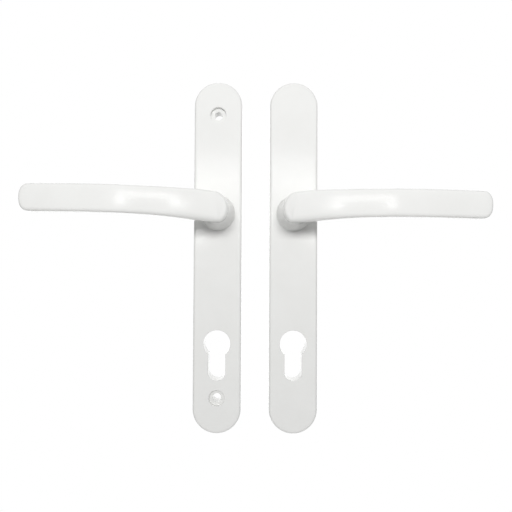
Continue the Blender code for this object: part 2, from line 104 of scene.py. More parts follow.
# Euro-profile cut-out
LOCK_BELOW_SPINDLE = 92.0
LOCK_CIRCLE_RADIUS = 9.45
LOCK_SLOT_WIDTH = 12.0
LOCK_HEIGHT = 35.2
LOCK_COLLAR_WALL = 2.0

# Fixing screws and threaded sleeves
FIXING_PLACES = {where: middle_of(f"outer_{where}_threaded_sleeve").z for where in ("upper", "lower")}
FIXING_PILLAR_RADIUS = 7.0
FIXING_HOLE_RADIUS = 2.95
COUNTERBORE_RADIUS = 5.5
COUNTERBORE_DEPTH = 3.2
SLEEVE_RADIUS = 4.0
SLEEVE_GAP = 0.3
THREAD_RADII = (2.1, 2.5)  # crest and root of the sleeve's inner thread
THREAD_PITCH = 0.8

# Spring pocket and its cover
POCKET_RADIUS = 12.0
POCKET_WALL_RADIUS = 15.0
POCKET_END = 3.5
STOP_RECESS_RADIUS = 13.8
STOP_RECESS_DEPTH = 5.0
STOP_REACH = 54.5
SPRING_SLOT_WIDTH = 2.1
SPRING_SLOT_DEPTH = 9.2
BEARING_RADIUS = 9.5
BEARING_INNER_EDGE = 0.1
COVER_RADIUS = 13.5
COVER_END_CENTRE = 8.2
COVER_BORE_RADIUS = 8.75
COVER_SCREW_PLACES = {where: middle_of(f"outer_cover_screw_{where}").z for where in ("upper", "lower")}
SCREW_BOSS_RADIUS = 2.6
SCREW_HOLE_RADIUS = 1.2
SCREW_HOLE_END = 8.3
SCREW_HEAD_RADIUS = 2.2
SCREW_HEAD_HEIGHT = 0.9
SCREW_SHANK_RADII = (0.9, 1.1)
SCREW_SHANK_OVERLAP = 0.2  # how far the shank reaches into the head
SCREW_PITCH = 0.7
SCREW_CROSS = (2.6, 0.6, 0.5)  # length, width and depth

# Lever
COLLAR_RADIUS = 12.4
COLLAR_HEIGHT = 1.2
COLLAR_GAP = 0.3
COLLAR_EDGE = 0.35
NECK_TOP = 45.0
NECK_LEAN = 0.12
HEAD_LENGTH = 9.1
HEAD_MIDDLE = -0.9
HEAD_LOW_CORNER = 2.9
SPIGOT_RADIUS = 8.2
SPIGOT_END = 0.2
SPIGOT_EDGE = 0.3
SPIGOT_FLAT = 7.3
SPIGOT_FLAT_LENGTH = 4.95
CLIP_GROOVE = (0.6, 1.6)
CLIP_GROOVE_RADIUS = 7.2
SPINDLE_SOCKET = 8.1
SOCKET_DEPTH = 25.0
LEVER_REACH = 120.4
TIP_LENGTH = 6.5
TIP_SQUARENESS = 0.85
FACE_EDGE_RADIUS = 2.4
BACK_EDGE_RADIUS = 4.0
FACE_CROWN = 0.2
LOW_EDGE_REACH = 5.0
CAST_VOXEL = 0.35
CAST_SMOOTHING = 8
CAST_SMOOTHING_FACTOR = 0.5
CORNER_STEPS = 24
SIDE_STEPS = 90
EDGE_STEPS = 12
NECK_LAYERS = 60

# Smooth curves through their points: the lever's edges as (s, v), its front and back as (s, u), what the
# face's low edge adds to FACE_EDGE_RADIUS as (s, radius), and the neck's radius and its reach towards the
# lever's tip as (u, distance).
TOP_EDGE = ((0, 9.8), (8, 10.7), (18, 11.0), (35, 11.3), (50, 11.5), (70, 11.7), (90, 11.6), (116, 11.2))
LOW_EDGE = ((-10, -9.6), (0, -9.5), (10, -8.9), (20, -7.9), (35, -6.7), (50, -6.1), (70, -5.8), (116, -6))
FRONT = (
    (-10, 48.8), (0, 50.7), (14, 53.3), (28, 55.7), (43, 57.6), (58, 59), (76, 59.7), (94, 59.8), (124, 59),
)
BACK = ((-10, 38.8), (8, 39.4), (16, 40.8), (25, 43), (34, 44.8), (50, 46.6), (76, 48), (124, 47))
LOW_EDGE_EASE = ((-10, 0.7), (0, 1.6), (12, 2.0), (25, 1.0), (40, 0.3), (60, 0), (124, 0))
NECK_RADII = ((14.5, 12.1), (18, 11.4), (24, 10.3), (30, 9.5), (37, 8.9), (46, 8.8))
NECK_REACH = ((14.5, 12.1), (18, 11.4), (24, 10.3), (29, 9.8), (33, 10.6), (36, 12.8), (39, 16.6), (46, 28))

# Small parts on the spigot
BUSH_RADII = (8.5, 9.2, 11.6)
BUSH_FLANGE_THICKNESS = 0.8
SPRING_RADIUS = 10.1
SPRING_WIRE = 0.65
SPRING_WIRE_END = 0.8  # the wire's ends, as a share of its radius
SPRING_FIXED_ANGLE = -90.0
SPRING_COIL_POINTS = 241
SPRING_TURNS = 1.75
SPRING_PITCH = 1.6
SPRING_FRONT = 8.45
SPRING_FIXED_LEG = 13.3
SPRING_MOVING_LEG = 3.9
SPRING_BEND_ANGLE = 12.0
SPRING_BEND_REACH = 2.0
SPRING_BEND_DROP = 0.9
DRIVER_RADIUS = 11.6
LUG_RADIUS = 13.4
LUG_HALF_ANGLE = 8.0
LUG_SIDE_TURN = 4.0  # degrees round the spindle that move the lug's side by about a millimetre
KEY_GAP = 0.3
DRIVER_SPRING_HOLE = 1.05
WASHER_RADII = (8.5, 11.0)
CLIP_RADII = (7.5, 9.4)
CLIP_HALF_OPENING = 24.0
CLIP_EAR_RADIUS = 1.5
CLIP_EAR_ANGLE = 5.0
STAMPED_EDGE = 0.12  # rounding of the stamped sheet parts' edges

# Shading
SHARP_ANGLE = 35.0  # degrees: an edge that bends by more is drawn sharp
NORMAL_WEIGHT = 90
NOISE_CONTRAST = 0.5  # the share of the noise's range over which a colour or value changes


# ---- Outlines, as closed lists of (s, v)


def arc(centre_s, centre_v, radius, start, end, count):
    """Points on an arc, from angle start to angle end in degrees, both ends included."""
    angles = np.radians(np.linspace(start, end, count))
    return [(centre_s + radius * math.cos(a), centre_v + radius * math.sin(a)) for a in angles]


def circle(radius, v=0.0, count=96, s=0.0):
    return arc(s, v, radius, 0, 360, count + 1)[:-1]


def growing_circle(radius, v=0.0, count=96, s=0.0):
    """A circle as an outline(grow), for the shapes that round their rims."""
    return lambda grow: circle(radius + grow, v, count, s)


def stadium(radius, low, high, count=73):
    """Two half circles centred at v = low and v = high, joined by straight sides."""
    return arc(0, high, radius, 0, 180, count) + arc(0, low, radius, 180, 360, count)


def rectangle(width, height, s=0.0, v=0.0):
    corners = ((-1, -1), (1, -1), (1, 1), (-1, 1))
    return [(s + i * width / 2, v + j * height / 2) for i, j in corners]


def plate_outline(grow=0.0):
    end_radius = PLATE_WIDTH / 2
    return stadium(end_radius + grow, PLATE_LOW.z + end_radius, PLATE_HIGH.z - end_radius)


def lock_outline(grow=0.0):
    """The euro profile: a circle with a round-ended slot hanging from it."""
    radius = LOCK_CIRCLE_RADIUS + grow
    half_slot = LOCK_SLOT_WIDTH / 2 + grow
    slot_end = -LOCK_BELOW_SPINDLE + LOCK_CIRCLE_RADIUS - LOCK_HEIGHT + LOCK_SLOT_WIDTH / 2
    throat = math.degrees(math.acos(half_slot / radius))
    head = arc(0, -LOCK_BELOW_SPINDLE, radius, -throat, 180 + throat, 81)
    return head + arc(0, slot_end, half_slot, 180, 360, 41)


def ring_sector(inner, outer, start, end, count=33):
    return arc(0, 0, outer, start, end, count) + arc(0, 0, inner, end, start, count)


def round_axis(radius, u, angle):
    """The point at that radius and angle, in degrees, round the spindle axis."""
    return (radius * math.cos(math.radians(angle)), u, radius * math.sin(math.radians(angle)))


def smooth(points, at):
    """The value at one place on a smooth curve through (place, value) points."""
    places = np.array([p[0] for p in points], float)
    values = np.array([p[1] for p in points], float)
    slopes = np.gradient(values, places)
    k = int(np.clip(np.searchsorted(places, at) - 1, 0, len(places) - 2))
    width = places[k + 1] - places[k]
    t = (at - places[k]) / width
    rise = (values[k + 1] - values[k]) / width
    bend = t * (1 - t) * ((slopes[k] - rise) * (1 - t) + (rise - slopes[k + 1]) * t)
    return float(values[k] + width * (rise * t + bend))


# ---- Solids, from millimetre points (s, u, v)


def solid(points, faces, name="shape"):
    """A mesh object with its faces pointing out. Points that coincide are joined."""
    mesh = bpy.data.meshes.new(name)
    mesh.from_pydata([(s * MM, -u * MM, v * MM) for s, u, v in points], [], faces)
    work = bmesh.new()
    work.from_mesh(mesh)
    bmesh.ops.remove_doubles(work, verts=work.verts, dist=1e-7)
    bmesh.ops.dissolve_degenerate(work, edges=work.edges, dist=1e-7)
    bmesh.ops.recalc_face_normals(work, faces=work.faces)
    work.to_mesh(mesh)
    work.free()
    obj = bpy.data.objects.new(name, mesh)
    bpy.context.scene.collection.objects.link(obj)
    return obj


def side_faces(rings, count, closed=False):
    """Quads between rings of count points, one ring after another."""
    faces = []
    for ring in range(rings if closed else rings - 1):
        here = ring * count
        there = (ring + 1) % rings * count
        for i in range(count):
            j = (i + 1) % count
            faces.append((here + i, here + j, there + j, there + i))
    return faces


def loft(layers):
    """A solid through layers (u, outline), whose outlines have the same number of points."""
    count = len(layers[0][1])
    points = [(s, u, v) for u, outline in layers for s, v in outline]
    faces = side_faces(len(layers), count)
    faces.append(tuple(range(count)))
    faces.append(tuple(range(len(points) - count, len(points))))
    return solid(points, faces)


def prism(outline, start, end):
    return loft([(start, outline), (end, outline)])


def quarter_round(steps=6):
    """Steps of a rounded edge, as (share of the radius inwards, share of the radius down)."""
    turns = np.radians(np.linspace(0, 90, steps))
    return [(1 - math.cos(turn), 1 - math.sin(turn)) for turn in turns]


def rounded_slab(outline, low, high, low_edge, high_edge):
    """A slab whose outline(grow) draws in round both rims."""
    layers = [(low + low_edge * down, outline(-low_edge * across)) for across, down in quarter_round()]
    layers = layers[::-1]
    layers += [(high - high_edge * down, outline(-high_edge * across)) for across, down in quarter_round()]
    return loft(layers)


def flared_cutter(outline, low, high, low_edge, high_edge):
    """A cutter for a hole from low to high, whose outline(grow) opens out to round both of its mouths."""
    layers = [(low - OVERSHOOT, outline(low_edge))]
    for across, down in quarter_round():
        layers.append((low + low_edge * (1 - down), outline(low_edge * (1 - across))))
    for across, down in quarter_round()[::-1]:
        layers.append((high - high_edge * (1 - down), outline(high_edge * (1 - across))))
    layers.append((high + OVERSHOOT, outline(high_edge)))
    return loft(layers)


def turned(profile, count=128):
    """A closed profile of (radius, u) points, turned about the spindle axis."""
    points = [(s, u, v) for radius, u in profile for s, v in circle(radius, count=count)]
    return solid(points, side_faces(len(profile), count, closed=True))


def soften(profile, edge, steps=4):
    """A closed profile with each corner rounded. A corner on the axis stays as it is."""
    softened = []
    corners = [np.array(corner, float) for corner in profile]
    for before, here, after in zip(corners[-1:] + corners, corners, corners[1:] + corners[:1]):
        if here[0] == 0:
            softened.append(tuple(here))
            continue
        back = (before - here) / np.linalg.norm(before - here)
        ahead = (after - here) / np.linalg.norm(after - here)
        for t in np.linspace(0, 1, steps):
            softened.append(tuple(here + edge * ((1 - t) ** 2 * back + t**2 * ahead)))
    return softened


def threaded(radii, pitch, low, high, rim, count=64, steps_per_turn=10):
    """A solid between a threaded wall and the plain wall at radius rim. A rim of 0 makes a threaded rod."""
    rows = int((high - low) / pitch * steps_per_turn) + 1
    points = []
    for u in np.linspace(low, high, rows):
        for angle in np.linspace(0, 360, count, endpoint=False):
            phase = (u / pitch - angle / 360) % 1
            radius = radii[0] + (radii[1] - radii[0]) * abs(2 * phase - 1)
            points.append(round_axis(radius, u, angle))
    for u in (high, low):
        points += [(s, u, v) for s, v in circle(rim, count=count)]
    return solid(points, side_faces(rows + 2, count, closed=True))


def pipe(path, radius, count=20):
    """A round wire along a path of (s, u, v) points, with slightly rounded ends."""
    path = np.array(path, float)
    along = np.gradient(path, axis=0)
    along /= np.linalg.norm(along, axis=1)[:, None]
    across = np.array((0.0, 1.0, 0.0))
    shares = np.ones(len(path))
    shares[[0, -1]] = SPRING_WIRE_END
    points = []
    for place, direction, share in zip(path, along, shares):
        across = across - direction * across.dot(direction)
        across /= np.linalg.norm(across)
        other = np.cross(direction, across)
        for angle in np.linspace(0, 2 * math.pi, count, endpoint=False):
            offset = math.cos(angle) * across + math.sin(angle) * other
            points.append(tuple(place + radius * share * offset))
    faces = side_faces(len(path), count)
    faces.append(tuple(range(count)))
    faces.append(tuple(range(len(points) - count, len(points))))
    return solid(points, faces)


def bake(obj):
    """Applies the object's modifiers."""
    graph = bpy.context.evaluated_depsgraph_get()
    result = bpy.data.meshes.new_from_object(obj.evaluated_get(graph))
    obj.modifiers.clear()
    obj.data = result
    return obj


def combine(target, tools, operation):
    """Cuts the tools from the target, adds them to it or keeps what they share, and removes them."""
    for tool in tools:
        modifier = target.modifiers.new("combine", "BOOLEAN")
        modifier.operation = operation
        modifier.solver = "EXACT"
        modifier.object = tool
    bake(target)
    for tool in tools:
        bpy.data.objects.remove(tool)
    return target


# ---- Backplates


def rib_outline(v):
    """A rib as an outline(grow): it only grows thicker."""
    return lambda grow: rectangle(PLATE_WIDTH, RIB_THICKNESS + 2 * grow, v=v)


def standing_in_hollow():
    """What stands up behind the plate's skin, towards the door."""
    into_skin = PLATE_DEPTH - PLATE_SKIN / 2
    below_door = -2 * OVERSHOOT
    standing = [
        rounded_slab(growing_circle(POCKET_WALL_RADIUS), POCKET_END, into_skin, CAST_EDGE, 0),
        prism(lock_outline(LOCK_COLLAR_WALL), below_door, into_skin),
    ]
    for v in FIXING_PLACES.values():
        standing.append(prism(circle(FIXING_PILLAR_RADIUS, v), below_door, into_skin))
    for v in COVER_SCREW_PLACES.values():
        boss = growing_circle(SCREW_BOSS_RADIUS, v, 48)
        standing.append(rounded_slab(boss, POCKET_END, into_skin, CAST_EDGE, 0))
    for v in RIB_PLACES:
        standing.append(rounded_slab(rib_outline(v), RIB_CLEAR_OF_DOOR, into_skin, CAST_EDGE, 0))
    return standing


def hollow_back():
    """The space behind the plate's skin, with the ejector pins' marks in its floor."""
    skin_back = PLATE_DEPTH - PLATE_SKIN
    space = flared_cutter(lambda grow: plate_outline(grow - PLATE_WALL), 0, skin_back, CAST_EDGE, 0)
    lid = prism(plate_outline(OVERSHOOT), skin_back, skin_back + 2 * OVERSHOOT)
    space = combine(space, [lid] + standing_in_hollow(), "DIFFERENCE")
    marks = []
    for v in EJECTOR_MARK_PLACES:
        mark = circle(EJECTOR_MARK_RADIUS, v, 48)
        marks.append(prism(mark, skin_back - EJECTOR_MARK_OVERLAP, skin_back + EJECTOR_MARK_DEPTH))
    return combine(space, marks, "UNION")


def pocket_cuts():
    """The bearing hole, the spring's pocket with its slot and stops, and the cover screws' holes."""
    skin_back = PLATE_DEPTH - PLATE_SKIN
    recess = ring_sector(POCKET_RADIUS - 1, STOP_RECESS_RADIUS, 90 - STOP_REACH, 90 + STOP_REACH)
    slot_length = STOP_RECESS_RADIUS - POCKET_RADIUS + 1
    slot = rectangle(SPRING_SLOT_WIDTH, slot_length, v=-(STOP_RECESS_RADIUS - slot_length / 2))
    bearing = growing_circle(BEARING_RADIUS)
    cuts = [
        flared_cutter(bearing, skin_back, PLATE_DEPTH, BEARING_INNER_EDGE, CAST_EDGE),
        prism(circle(POCKET_RADIUS), -OVERSHOOT, skin_back),
        prism(recess, -OVERSHOOT, STOP_RECESS_DEPTH),
        prism(slot, -OVERSHOOT, SPRING_SLOT_DEPTH),
    ]
    for v in COVER_SCREW_PLACES.values():
        cuts.append(prism(circle(SCREW_HOLE_RADIUS, v, 32), -OVERSHOOT, SCREW_HOLE_END))
    return cuts


def screw_holes():
    """Counterbored holes through the inside plate."""
    floor = PLATE_DEPTH - COUNTERBORE_DEPTH
    cuts = []
    for v in FIXING_PLACES.values():
        hole = growing_circle(FIXING_HOLE_RADIUS, v)
        counterbore = growing_circle(COUNTERBORE_RADIUS, v)
        cuts.append(flared_cutter(hole, 0, floor, CAST_EDGE, CAST_EDGE / 2))
        bore = flared_cutter(counterbore, floor, PLATE_DEPTH, SHARP_EDGE, CAST_EDGE)
        below_floor = prism(circle(2 * COUNTERBORE_RADIUS, v), floor - 2 * OVERSHOOT, floor)
        cuts.append(combine(bore, [below_floor], "DIFFERENCE"))
    return cuts


def sleeve_holes():
    """Blind holes in the outside plate's pillars, for the threaded sleeves."""
    depth = thickness_of("outer_upper_threaded_sleeve")[1] + SLEEVE_GAP
    radius = SLEEVE_RADIUS + SLEEVE_GAP
    return [prism(circle(radius, v), -OVERSHOOT, depth) for v in FIXING_PLACES.values()]


def backplate(fixing_cuts):
    plate = rounded_slab(plate_outline, 0, PLATE_DEPTH, CAST_EDGE, PLATE_EDGE_RADIUS)
    lock = flared_cutter(lock_outline, 0, PLATE_DEPTH, CAST_EDGE, CAST_EDGE)
    return combine(plate, [hollow_back(), lock] + pocket_cuts() + fixing_cuts, "DIFFERENCE")


# ---- Lever


def bar_outline():
    """The lever's outline seen from the front: its upper and its lower half, from the head to the tip."""
    tip_start = LEVER_REACH - TIP_LENGTH
    top_corner = smooth(TOP_EDGE, 0)
    low_corner = smooth(LOW_EDGE, -HEAD_LOW_CORNER)
    upper, lower = [], []
    for angle in np.radians(np.linspace(0, 90, CORNER_STEPS))[:-1]:
        s = -HEAD_LENGTH * math.cos(angle)
        upper.append((s, HEAD_MIDDLE + (top_corner - HEAD_MIDDLE) * math.sin(angle)))
        s = -HEAD_LOW_CORNER - (HEAD_LENGTH - HEAD_LOW_CORNER) * math.cos(angle)
        lower.append((s, HEAD_MIDDLE + (low_corner - HEAD_MIDDLE) * math.sin(angle)))
    for s in np.linspace(0, tip_start, SIDE_STEPS):
        upper.append((s, smooth(TOP_EDGE, s)))
        lower.append((s, smooth(LOW_EDGE, s)))
    top, low = upper[-1][1], lower[-1][1]
    middle, half = (top + low) / 2, (top - low) / 2
    for angle in np.radians(np.linspace(90, 0, CORNER_STEPS))[1:]:
        s = tip_start + TIP_LENGTH * math.cos(angle) ** TIP_SQUARENESS
        v = half * math.sin(angle) ** TIP_SQUARENESS
        upper.append((s, middle + v))
        lower.append((s, middle - v))
    return upper, lower


def inset_outline(loop, distances):
    """The closed outline moved in along its own normals, by one distance for each point."""
    loop = np.array(loop)
    along = np.roll(loop, -1, axis=0) - np.roll(loop, 1, axis=0)
    along /= np.linalg.norm(along, axis=1)[:, None]
    inward = np.stack([along[:, 1], -along[:, 0]], axis=1)
    return loop + distances[:, None] * inward


def face_edge_radii(loop):
    """How far the front edge is rounded at each point of the outline: more below, near the head."""
    radii = []
    for s, v in loop:
        low_share = min(max(-v / LOW_EDGE_REACH, 0), 1)
        radii.append(FACE_EDGE_RADIUS + low_share * smooth(LOW_EDGE_EASE, s))
    return np.array(radii)


def bar():
    """The lever's bar: rings round its edge, closed by a crowned front and a flat back."""
    upper, lower = bar_outline()
    loop = upper + lower[-2:0:-1]
    count = len(loop)
    half = len(upper) - 1
    front_radii = face_edge_radii(loop)
    back_radii = np.full(count, BACK_EDGE_RADIUS)
    turn = np.radians(np.linspace(90, 0, EDGE_STEPS))
    rings = [(angle, FRONT, -front_radii) for angle in turn]
    rings += [(angle, BACK, back_radii) for angle in turn[::-1]]
    points = []
    for angle, surface, depths in rings:
        moved_in = inset_outline(loop, abs(depths) * (1 - math.cos(angle)))
        offsets = depths * (1 - math.sin(angle))
        for (s, v), (place, _), offset in zip(moved_in, loop, offsets):
            points.append((s, smooth(surface, place) + offset, v))
    faces = side_faces(len(rings), count)
    first_of_last = (len(rings) - 1) * count
    for start, crown in ((0, FACE_CROWN), (first_of_last, 0)):
        faces += ladder(points, start, count, half, crown)
    return solid(points, faces)


def ladder(points, start, count, half, crown, steps=14):
    """Faces across one ring, between each upper point and the lower point below it.

    They bulge by the crown at the bar's widest place, and by less where it is narrower.
    """
    full_width = max(points[start + i][2] - points[start + count - i][2] for i in range(1, half))
    rows = []
    for i in range(1, half):
        upper, lower = start + i, start + count - i
        bulge = crown * ((points[upper][2] - points[lower][2]) / full_width) ** 2
        row = [upper]
        for step in range(1, steps):
            t = step / steps
            middle = [(1 - t) * a + t * b for a, b in zip(points[upper], points[lower])]
            middle[1] += bulge * 4 * t * (1 - t)
            row.append(len(points))
            points.append(tuple(middle))
        rows.append(row + [lower])
    faces = []
    for row, following in zip(rows, rows[1:]):
        faces += [(row[i], row[i + 1], following[i + 1], following[i]) for i in range(steps)]
    for end, row in ((start, rows[0]), (start + half, rows[-1])):
        faces += [(end, row[i], row[i + 1]) for i in range(steps)]
    return faces


def neck_outline(radius, reach, count=49):
    """A half circle away from the lever, and a half of a squarer oval that reaches out under it."""
    squareness = math.sqrt(radius / reach)
    outline = []
    for angle in np.radians(np.linspace(-90, 90, count)):
        s = reach * math.cos(angle) ** squareness
        v = math.copysign(radius * abs(math.sin(angle)) ** squareness, angle)
        outline.append((s, v * (1 - NECK_LEAN * s / reach * (reach - radius) / radius)))
    return outline + arc(0, 0, radius, 90, 270, count)[1:-1]


def neck():
    """Round above the collar, and reaching out under the bar as it rises."""
    start = PLATE_DEPTH + COLLAR_GAP + COLLAR_HEIGHT / 2
    layers = []
    for u in np.linspace(start, NECK_TOP, NECK_LAYERS):
        layers.append((u, neck_outline(smooth(NECK_RADII, u), smooth(NECK_REACH, u))))
    return loft(layers)


def spigot():
    """Spigot and collar in one turned piece, with the clip's groove."""
    groove_start, groove_end = CLIP_GROOVE
    shoulder = PLATE_DEPTH + COLLAR_GAP
    top = shoulder + COLLAR_HEIGHT
    profile = [(0, SPIGOT_END), (SPIGOT_RADIUS - SPIGOT_EDGE, SPIGOT_END)]
    profile += [(SPIGOT_RADIUS, SPIGOT_END + SPIGOT_EDGE)]
    profile += [(SPIGOT_RADIUS, groove_start), (CLIP_GROOVE_RADIUS, groove_start)]
    profile += [(CLIP_GROOVE_RADIUS, groove_end), (SPIGOT_RADIUS, groove_end)]
    profile += [(SPIGOT_RADIUS, shoulder)]
    for across, down in quarter_round()[::-1]:
        profile.append((COLLAR_RADIUS - COLLAR_EDGE * across, shoulder + COLLAR_EDGE * down))
    for across, down in quarter_round():
        profile.append((COLLAR_RADIUS - COLLAR_EDGE * across, top - COLLAR_EDGE * down))
    profile.append((0, top))
    return turned(profile)


def cast_together(bar_piece, neck_piece):
    """The bar and the neck as one casting, with the crease between them smoothed away."""
    body = combine(bar_piece, [neck_piece], "UNION")
    remesh = body.modifiers.new("cast", "REMESH")
    remesh.mode = "VOXEL"
    remesh.voxel_size = CAST_VOXEL * MM
    ease = body.modifiers.new("ease", "SMOOTH")
    ease.factor = CAST_SMOOTHING_FACTOR
    ease.iterations = CAST_SMOOTHING
    return bake(body)


def socket_outline(grow):
    side = SPINDLE_SOCKET + 2 * grow
    return rectangle(side, side)


def lever():
    body = cast_together(bar(), neck())
    cheek = 2 * SPIGOT_RADIUS
    stem = spigot()
    flats = []
    for way in (-1, 1):
        flat = rectangle(cheek, 2 * cheek, s=way * (SPIGOT_FLAT + cheek / 2))
        flats.append(prism(flat, -OVERSHOOT, SPIGOT_FLAT_LENGTH))
    combine(stem, flats, "DIFFERENCE")
    combine(body, [stem], "UNION")
    socket_end = SPIGOT_END + SOCKET_DEPTH - OVERSHOOT
    socket = flared_cutter(socket_outline, SPIGOT_END, socket_end, SPIGOT_EDGE, 0)
    return combine(body, [socket], "DIFFERENCE")


# ---- Small parts on the spigot


def neck_bush():
    bore, sleeve, flange = BUSH_RADII
    low, high = thickness_of("outer_neck_bush")
    step = low + BUSH_FLANGE_THICKNESS
    profile = [(bore, low), (flange, low), (flange, step), (sleeve, step), (sleeve, high), (bore, high)]
    return turned(soften(profile, STAMPED_EDGE))


def bend(start, corner, end, count=9):
    """Points strictly between start and end, on a curve that turns at the corner."""
    start, corner, end = np.array(start), np.array(corner), np.array(end)
    places = np.linspace(0, 1, count + 2)[1:-1]
    return [tuple((1 - t) ** 2 * start + 2 * t * (1 - t) * corner + t * t * end) for t in places]


def return_spring(slack):
    """A leg out into the pocket's slot, the coil, and a leg down into the driver."""
    start = SPRING_FIXED_ANGLE
    end = start + 360 * SPRING_TURNS + slack
    drop = SPRING_PITCH * SPRING_TURNS
    coil = []
    for t in np.linspace(0, 1, SPRING_COIL_POINTS):
        angle = start + SPRING_BEND_ANGLE + t * (end - start - 2 * SPRING_BEND_ANGLE)
        coil.append(round_axis(SPRING_RADIUS, SPRING_FRONT - t * drop, angle))
    leg_end = round_axis(SPRING_RADIUS + SPRING_BEND_REACH, SPRING_FRONT, start)
    leg_in = [round_axis(SPRING_FIXED_LEG, SPRING_FRONT, start), leg_end]
    bend_in = bend(leg_end, round_axis(SPRING_RADIUS, SPRING_FRONT, start), coil[0])
    turned_down = round_axis(SPRING_RADIUS, SPRING_FRONT - drop - SPRING_BEND_DROP, end)
    bend_out = bend(coil[-1], round_axis(SPRING_RADIUS, SPRING_FRONT - drop, end), turned_down)
    leg_out = [turned_down, round_axis(SPRING_RADIUS, SPRING_MOVING_LEG, end)]
    return pipe(leg_in + bend_in + coil + bend_out + leg_out, SPRING_WIRE)


def lug_outline(grow):
    reach = LUG_HALF_ANGLE + LUG_SIDE_TURN * grow
    return ring_sector(DRIVER_RADIUS - 1, LUG_RADIUS + grow, 90 - reach, 90 + reach)


def driver_plate():
    """The steel plate that turns with the spigot: it carries the stop lug and the spring's moving leg."""
    low, high = thickness_of("outer_driver_plate")
    disc = rounded_slab(growing_circle(DRIVER_RADIUS), low, high, STAMPED_EDGE, STAMPED_EDGE)
    disc = combine(disc, [rounded_slab(lug_outline, low, high, STAMPED_EDGE, STAMPED_EDGE)], "UNION")
    below, above = low - OVERSHOOT, high + OVERSHOOT
    keyed_hole = prism(circle(SPIGOT_RADIUS + KEY_GAP), below, above)
    across_flats = rectangle(2 * (SPIGOT_FLAT + KEY_GAP), 4 * SPIGOT_RADIUS)
    slab = prism(across_flats, below - OVERSHOOT, above + OVERSHOOT)
    combine(keyed_hole, [slab], "INTERSECT")
    spring_hole = prism(circle(DRIVER_SPRING_HOLE, count=48, s=-SPRING_RADIUS), below, above)
    return combine(disc, [keyed_hole, spring_hole], "DIFFERENCE")


def cover_outline(grow):
    return stadium(COVER_RADIUS + grow, -COVER_END_CENTRE, COVER_END_CENTRE)


def cassette_cover():
    low, high = thickness_of("outer_cassette_cover")
    plate = rounded_slab(cover_outline, low, high, STAMPED_EDGE, STAMPED_EDGE)
    cuts = [flared_cutter(growing_circle(COVER_BORE_RADIUS), low, high, STAMPED_EDGE, STAMPED_EDGE)]
    for v in COVER_SCREW_PLACES.values():
        cuts.append(prism(circle(SCREW_HOLE_RADIUS, v, 48), low - OVERSHOOT, high + OVERSHOOT))
    return combine(plate, cuts, "DIFFERENCE")


def thrust_washer():
    bore, rim = WASHER_RADII
    low, high = thickness_of("outer_thrust_washer")
    return turned(soften([(bore, low), (rim, low), (rim, high), (bore, high)], STAMPED_EDGE))


def circlip():
    """An open ring with an eyed ear at each end, for circlip pliers."""
    inner, outer = CLIP_RADII
    low, high = thickness_of("outer_circlip")
    first, last = 90 + CLIP_HALF_OPENING, 450 - CLIP_HALF_OPENING

    def open_ring(grow):
        return ring_sector(inner - grow, outer + grow, first, last, 121)

    clip = rounded_slab(open_ring, low, high, STAMPED_EDGE, STAMPED_EDGE)
    ears, eyes = [], []
    for angle in (first + CLIP_EAR_ANGLE, last - CLIP_EAR_ANGLE):
        s, _, v = round_axis(outer, 0, angle)
        ear = growing_circle(CLIP_EAR_RADIUS, v, 48, s)
        ears.append(rounded_slab(ear, low, high, STAMPED_EDGE, STAMPED_EDGE))
        eyes.append(prism(circle(CLIP_EAR_RADIUS / 2, v, 32, s), low - OVERSHOOT, high + OVERSHOOT))
    return combine(combine(clip, ears, "UNION"), eyes, "DIFFERENCE")


def cover_screw(where):
    """A pan-head thread-forming screw whose head is towards the door."""
    v = COVER_SCREW_PLACES[where]
    low, end = thickness_of(f"outer_cover_screw_{where}")
    high = low + SCREW_HEAD_HEIGHT
    rim = growing_circle(SCREW_HEAD_RADIUS, v, 64)
    head = rounded_slab(rim, low, high, SCREW_HEAD_HEIGHT / 2, STAMPED_EDGE)
    shank = threaded(SCREW_SHANK_RADII, SCREW_PITCH, high - SCREW_SHANK_OVERLAP, end, 0, 32)
    shank.data.transform(Matrix.Translation((0, 0, v * MM)))
    length, width, depth = SCREW_CROSS
    cross = []
    for across, along in ((length, width), (width, length)):
        cross.append(prism(rectangle(across, along, v=v), low - OVERSHOOT, low + depth))
    return combine(combine(head, [shank], "UNION"), cross, "DIFFERENCE")


def threaded_sleeve(where):
    """A steel sleeve that takes one of the long fixing screws."""
    low, high = thickness_of(f"outer_{where}_threaded_sleeve")
    sleeve = threaded(THREAD_RADII[::-1], THREAD_PITCH, low, high, SLEEVE_RADIUS)
    sleeve.data.transform(Matrix.Translation((0, 0, FIXING_PLACES[where] * MM)))
    return sleeve


# ---- Materials


def new_material(name, **values):
    """A Principled material with its uniform values on the shader's own sockets."""
    material = bpy.data.materials.new(name)
    material.use_nodes = True
    shader = material.node_tree.nodes["Principled BSDF"]
    for socket, value in values.items():
        shader.inputs[socket.replace("_", " ")].default_value = value
    return material, shader


def noise(material, scale, detail=2.0, stretch=(1, 1, 1)):
    """Noise in the piece's own metres: scale is how many lumps there are to a metre."""
    nodes, links = material.node_tree.nodes, material.node_tree.links
    place = nodes.new("ShaderNodeTexCoord")
    mapping = nodes.new("ShaderNodeMapping")
    mapping.inputs["Scale"].default_value = stretch
    texture = nodes.new("ShaderNodeTexNoise")
    texture.inputs["Scale"].default_value = scale
    texture.inputs["Detail"].default_value = detail
    links.new(place.outputs["Object"], mapping.inputs["Vector"])
    links.new(mapping.outputs["Vector"], texture.inputs["Vector"])
    return texture.outputs["Fac"]


